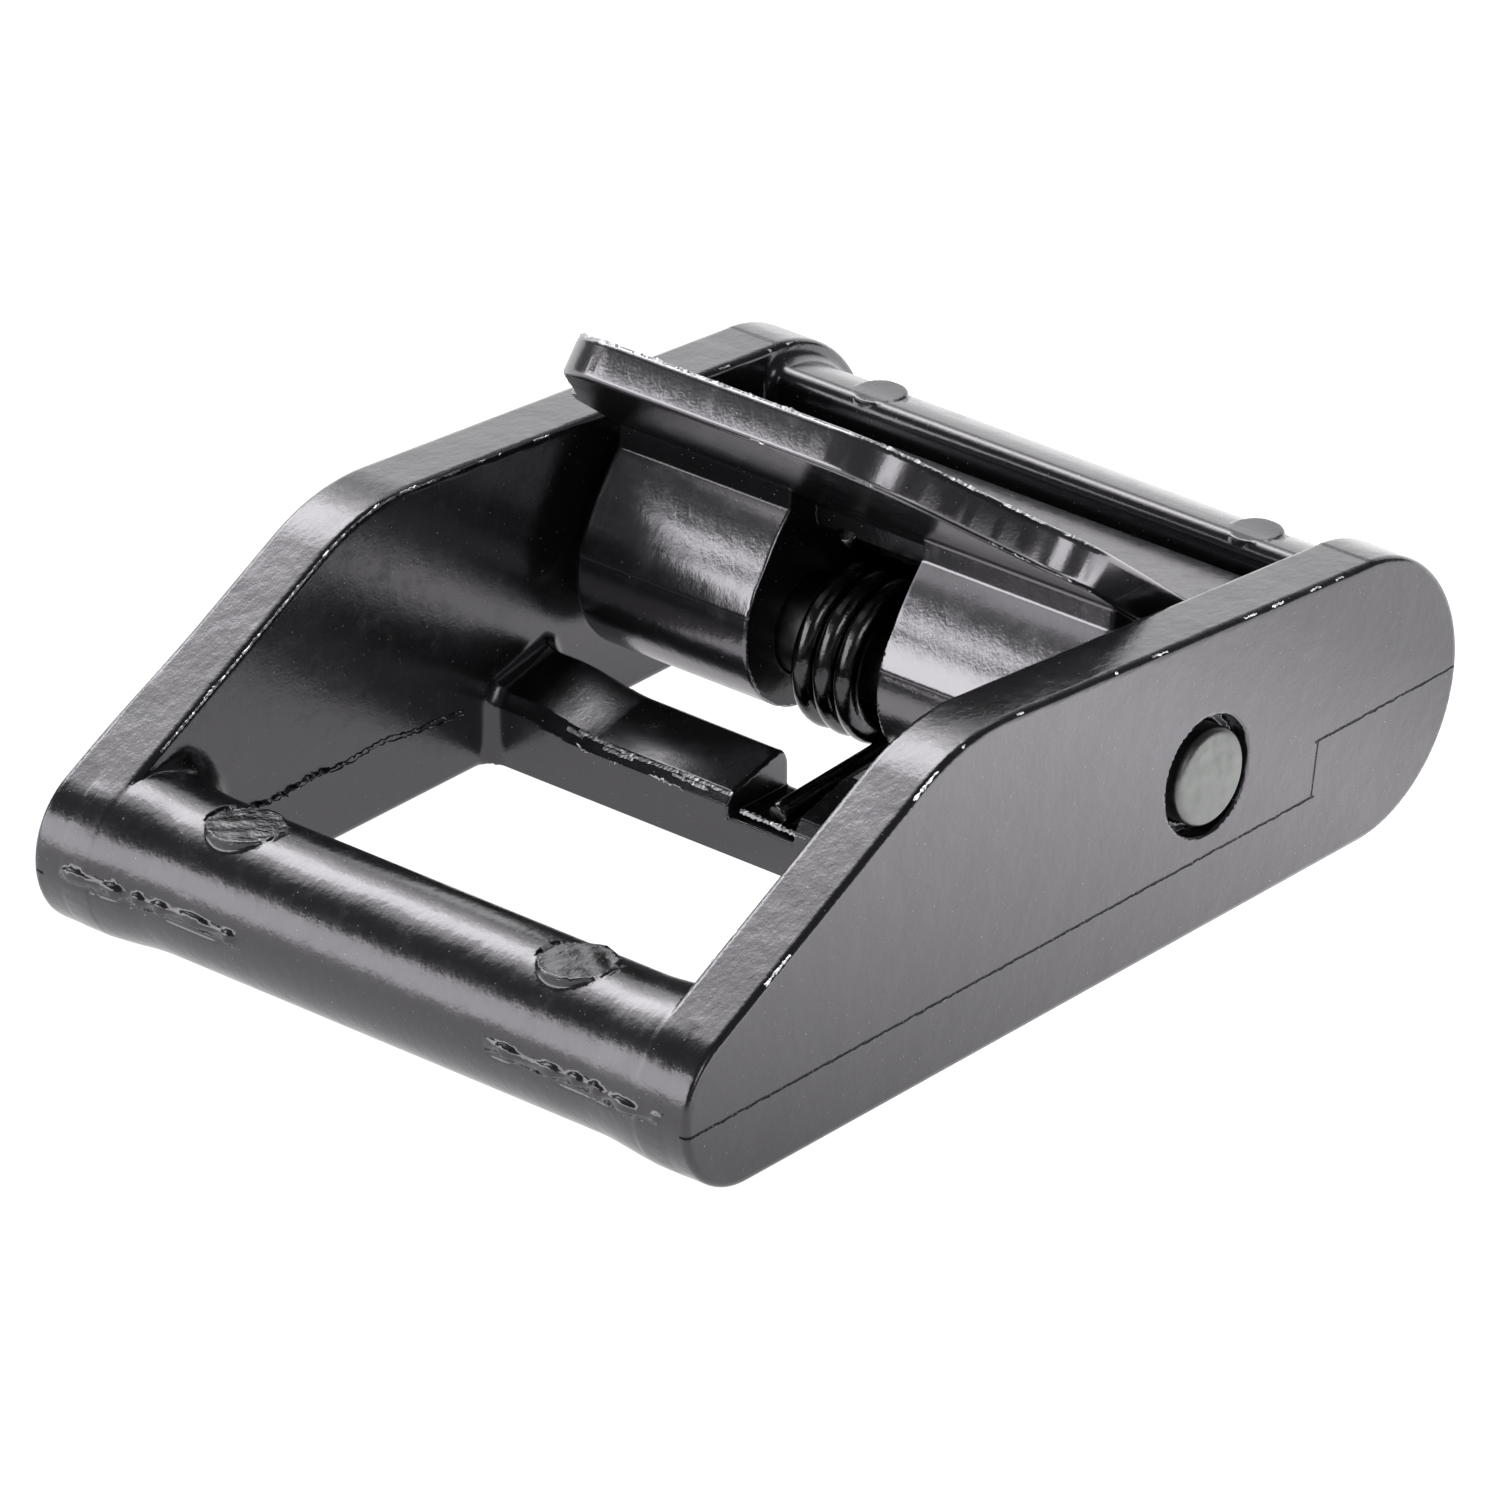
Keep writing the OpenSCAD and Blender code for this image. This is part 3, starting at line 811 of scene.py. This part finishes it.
def bare_metal(name, colour, rough):
    """Steel or zinc without paint, slightly uneven in colour and gloss."""
    g = Graph(name)
    g.shader.inputs["Metallic"].default_value = 1.0
    normal = g.bump(g.noise(0.5, 3.0), 0.02)
    normal = g.bump(g.noise(0.07, 2.0), 0.004, normal)
    g.feed(g.shader.inputs["Normal"], normal)
    uneven = g.span(g.noise(0.6, 3.0), 0.3, 0.7, rough - 0.06, rough + 0.1)
    g.feed(g.shader.inputs["Roughness"], uneven)
    dark = tuple(c * 0.7 for c in colour) + (1,)
    g.feed(g.shader.inputs["Base Color"], g.mix(g.noise(0.9, 4.0), dark, colour + (1,)))
    return g.material


def dress(piece, material, body, node):
    """Gives a piece its material and lets it stand for a node of the frame on one body."""
    piece.data.materials.clear()
    piece.data.materials.append(material)
    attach(piece, body)
    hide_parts(node)


# Pieces
frame_coat = black_coat("frame_coat", 1.7, 0.2, 0.3, True)
lever_coat = black_coat("lever_coat", 2.3, 0.19, 0.27, False)
bare_zinc = bare_metal("bare_zinc", (0.5, 0.5, 0.52), 0.36)

frame_piece = solid_piece(
    "frame_casting", frame_field,
    (-FRAME_W / 2 - MARGIN, -FRAME_L / 2 - MARGIN, -MARGIN),
    (FRAME_W / 2 + MARGIN, FRAME_L / 2 + MARGIN, FRAME_TOP + MARGIN),
    STEP, Matrix.Identity(4),
)
dress(frame_piece, frame_coat, "frame", "frame")
flash_piece("frame_flash", frame_strips(), 5, "frame", frame_coat)
flash_piece("frame_wear", worn_strips(), 7, "frame", bare_zinc)

lean = Matrix((
    (1, 0, 0, LEVER_SHIFT), (0, math.cos(TILT), math.sin(TILT), PIN_Y),
    (0, -math.sin(TILT), math.cos(TILT), PIN_Z), (0, 0, 0, 1),
))
lever_piece = solid_piece(
    "lever_casting", lever_field,
    (-THUMB_HALF - MARGIN, -THUMB_L - MARGIN, -LEVER_BELOW),
    (THUMB_HALF + MARGIN, LEVER_BEHIND, CAM_R + MARGIN),
    STEP, lean,
)
dress(lever_piece, lever_coat, "lever", "cam_lever")
flash_piece("lever_flash", lever_strips(), 6, "lever", bare_zinc)

# The pin's ends are slightly domed and rounded to 0.3 mm
end_x = FRAME_W / 2 + PIN_PROUD
quarter = [math.radians(15 * k) for k in range(7)]
rounding = [(0.3 * (1 - math.cos(a)), 0.3 * (1 - math.sin(a))) for a in quarter]
half_pin = [(end_x + 0.03, 0), (end_x + 0.02, 0.9)] + [(end_x - dx, PIN_R - dr) for dx, dr in rounding]
pin_outline = [(-x, r) for x, r in half_pin] + [(x, r) for x, r in reversed(half_pin)]
pin_piece = lathe("pin_steel", pin_outline, 96)
dress(pin_piece, bare_metal("pin_steel", (0.14, 0.145, 0.14), 0.36), "frame", "pivot_pin")

# The spring's wire runs from its foot on the frame's middle bar through its coils to its hand under the thumb
# plate
spring_piece = tube("spring_wire", wire_points(), WIRE_D / 2, 20)
spring_piece.data.materials.append(bare_metal("spring_steel", (0.075, 0.075, 0.078), 0.14))
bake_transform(spring_piece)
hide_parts("torsion_spring")

# Camera, fitted to the photograph: turn, drop, distance, lens in pixels and the origin's pixel
CAM_TURN, CAM_DROP = math.radians(40.907), math.radians(26.897)
CAM_FAR, CAM_PIXELS, IMAGE, SENSOR = 492.57, 13130.842, 1500, 36
ORIGIN_PX, ORIGIN_PY = 724.947, 881.635
# The fit's origin lies this far in front of the part's
FIT_SHIFT = 1.688


def place_camera():
    """Puts the camera where the photograph was taken from, with the lens shift as a sideways step."""
    level = math.cos(CAM_DROP)
    ahead = Vector((-math.sin(CAM_TURN) * level, math.cos(CAM_TURN) * level, -math.sin(CAM_DROP)))
    right = Vector((math.cos(CAM_TURN), math.sin(CAM_TURN), 0))
    up = right.cross(ahead)
    across = (ORIGIN_PX - IMAGE / 2) / CAM_PIXELS * CAM_FAR
    over = (ORIGIN_PY - IMAGE / 2) / CAM_PIXELS * CAM_FAR
    spot = -ahead * CAM_FAR - right * across + up * over - Vector((0, FIT_SHIFT, 0))
    data = bpy.data.cameras.new("camera")
    data.sensor_width = SENSOR
    data.lens = CAM_PIXELS * SENSOR / IMAGE
    data.clip_start, data.clip_end = 0.01, 20
    camera = added("camera", data)
    basis = Matrix((right, up, -ahead)).transposed().to_4x4()
    camera.matrix_world = Matrix.Translation(spot * MM) @ basis
    bpy.context.scene.camera = camera


place_camera()


# Studio
def softbox(name, direction, distance, width, height, radiance, target=(0, 0, 0.006)):
    """A soft panel that faces the buckle; radiance is how bright its face looks."""
    data = bpy.data.lights.new(name, "AREA")
    data.shape = "RECTANGLE"
    data.size, data.size_y = width, height
    data.energy = radiance * math.pi * width * height
    light = added(name, data)
    way = Vector(direction).normalized()
    light.location = Vector(target) + way * distance
    across = (Vector((1, 0, 0)) - way * way.x).normalized()
    light.rotation_euler = Matrix((across, way.cross(across), way)).transposed().to_euler()


# Direction, distance, width, height and radiance, with lengths in metres
softbox("top_core", (-0.584, 0.21, 0.784), 0.45, 0.4, 0.15, 5.5)
softbox("top_halo", (-0.584, 0.18, 0.79), 0.5, 0.5, 0.34, 2.5)
softbox("back_wall", (-0.55, 0.813, 0.19), 0.9, 1.6, 0.64, 1.75)
softbox("back_high", (-0.584, 0.53, 0.615), 0.9, 1.6, 0.2, 1.5)
softbox("left_wall", (-0.6, -0.763, 0.24), 0.9, 1.2, 0.45, 4.2)
softbox("side_box", (0.72, -0.51, 0.47), 0.6, 0.2, 0.2, 3.5)

world = bpy.data.worlds.new("studio")
world.use_nodes = True
world.node_tree.nodes["Background"].inputs["Color"].default_value = (0.97, 0.97, 1.0, 1)
world.node_tree.nodes["Background"].inputs["Strength"].default_value = 0.12
bpy.context.scene.world = world

spread = 3.0
square = [(-spread, -spread, 0), (spread, -spread, 0), (spread, spread, 0), (-spread, spread, 0)]
floor_mesh = bpy.data.meshes.new("floor")
floor_mesh.from_pydata(square, [], [(0, 1, 2, 3)])
floor = added("floor", floor_mesh)
floor.location.z = -0.02 * MM
# A pale light table whose glow carries painted light: brighter towards the back right as a painted pool of
# light, low round the buckle as painted shade, and fading out behind the buckle
FADE_Y, GLOW_RUN, GLOW_RISE, GLOW_LEAST = (19, 31), (-2, 46), 2.6, 1.02
paper = Graph("paper")
paper.shader.inputs["Base Color"].default_value = (0.1, 0.1, 0.1, 1)
paper.shader.inputs["Roughness"].default_value = 0.9
paper.shader.inputs["Emission Color"].default_value = (1.0, 0.99, 1.0, 1)
toward = paper.node("ShaderNodeVectorMath", operation="DOT_PRODUCT")
paper.feed(toward.inputs[0], paper.where)
toward.inputs[1].default_value = (0.655, 0.756, 0)
behind = paper.node("ShaderNodeSeparateXYZ")
paper.feed(behind.inputs[0], paper.where)
fade = paper.span(behind.outputs[1], FADE_Y[0] * MM, FADE_Y[1] * MM, 1.0, 0.33)
# Painted light in the floor's glow: a painted pool of light to the back right, painted shade near the buckle
rise = paper.span(toward.outputs["Value"], GLOW_RUN[0] * MM, GLOW_RUN[1] * MM, 0, GLOW_RISE)
painted_floor_light = paper.math("MULTIPLY_ADD", rise, fade, GLOW_LEAST)
paper.feed(paper.shader.inputs["Emission Strength"], painted_floor_light)
floor_mesh.materials.append(paper.material)

bpy.context.scene.view_settings.view_transform = "Standard"
